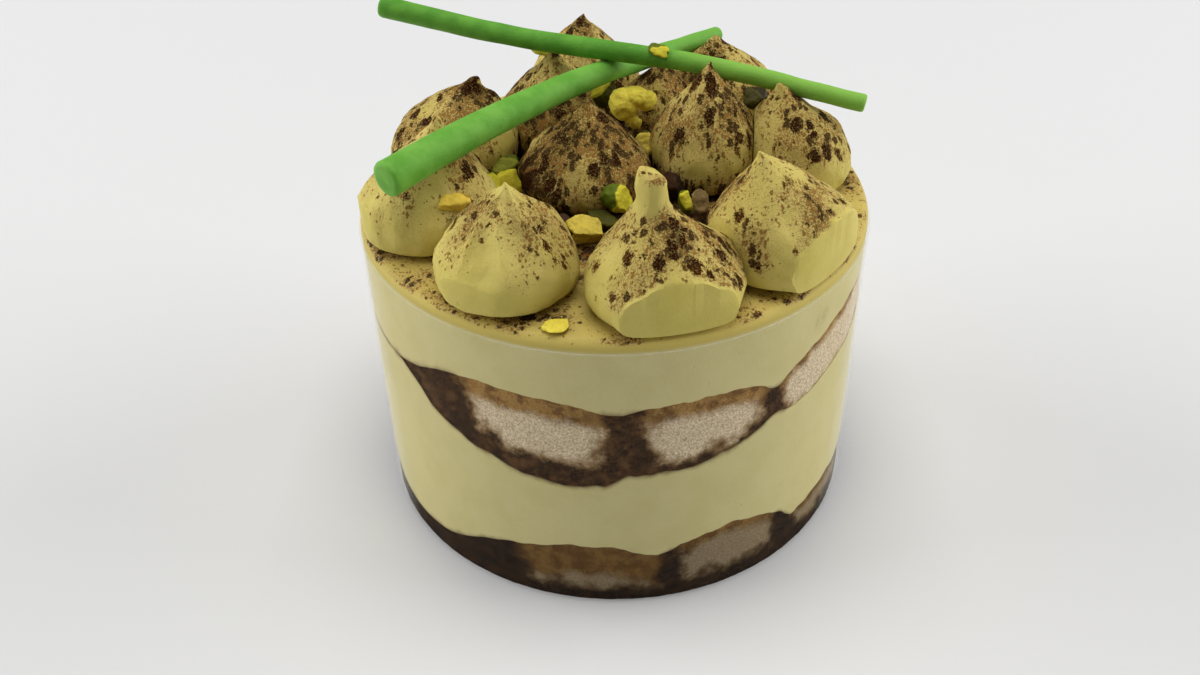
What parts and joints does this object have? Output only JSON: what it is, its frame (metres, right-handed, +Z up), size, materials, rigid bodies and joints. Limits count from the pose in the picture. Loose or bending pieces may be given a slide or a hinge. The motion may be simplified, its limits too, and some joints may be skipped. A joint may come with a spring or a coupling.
{
  "type": "pistachio tiramisu",
  "caption": "Round layered dessert of soaked sponge fingers and pistachio cream in a clear film collar, topped with piped cream, chopped nuts and green sugar sticks.",
  "frame": {"origin": "centre of the round base, on the surface that the cake stands on", "axes": "+Z up; -Y towards the front, where the long finger ends and the flattened front kiss face; +X to the right"},
  "size_m": [0.091, 0.091, 0.0835],
  "materials": {
    "kiss_cream": "matt piped pistachio cream, dusted with cocoa",
    "layer_cream": "smooth pistachio cream, dusted with cocoa on top",
    "sponge": "porous sponge, pale crumb with golden crust and dark coffee soak",
    "stick": "matt green sugar paste",
    "nut": "cut pistachio, yellow-green",
    "nut_skin": "dark pistachio skin",
    "film": "clear thin film, glossy"
  },
  "bodies": {
    "root": {"cream_lower": "layer_cream", "cream_upper": "layer_cream", "film_collar": "film", "kiss_back": "kiss_cream", "kiss_back_left": "kiss_cream", "kiss_back_right": "kiss_cream", "kiss_front": "kiss_cream", "kiss_front_left": "kiss_cream", "kiss_front_right": "kiss_cream", "kiss_inner_back": "kiss_cream", "kiss_inner_front": "kiss_cream", "kiss_inner_left": "kiss_cream", "kiss_inner_right": "kiss_cream", "kiss_left": "kiss_cream", "kiss_right": "kiss_cream", "pistachio_behind": "nut", "pistachio_brown": "nut_skin", "pistachio_corner": "nut", "pistachio_dark": "nut_skin", "pistachio_floor": "nut", "pistachio_front": "nut", "pistachio_green": "nut", "pistachio_leaning": "nut", "pistachio_left": "nut", "pistachio_on_stick": "nut", "pistachio_right": "nut_skin", "pistachio_rim": "nut", "pistachio_shell": "nut_skin", "pistachio_skin": "nut_skin", "pistachio_stem": "nut", "pistachio_tucked": "nut", "pistachio_under": "nut", "pistachio_whole": "nut", "sponge_base_end": "sponge", "sponge_base_left": "sponge", "sponge_base_middle": "sponge", "sponge_base_right": "sponge", "sponge_middle_front": "sponge", "sponge_middle_left": "sponge", "sponge_middle_right": "sponge", "stick_thick": "stick", "stick_thin": "stick"}
  },
  "joints": []
}
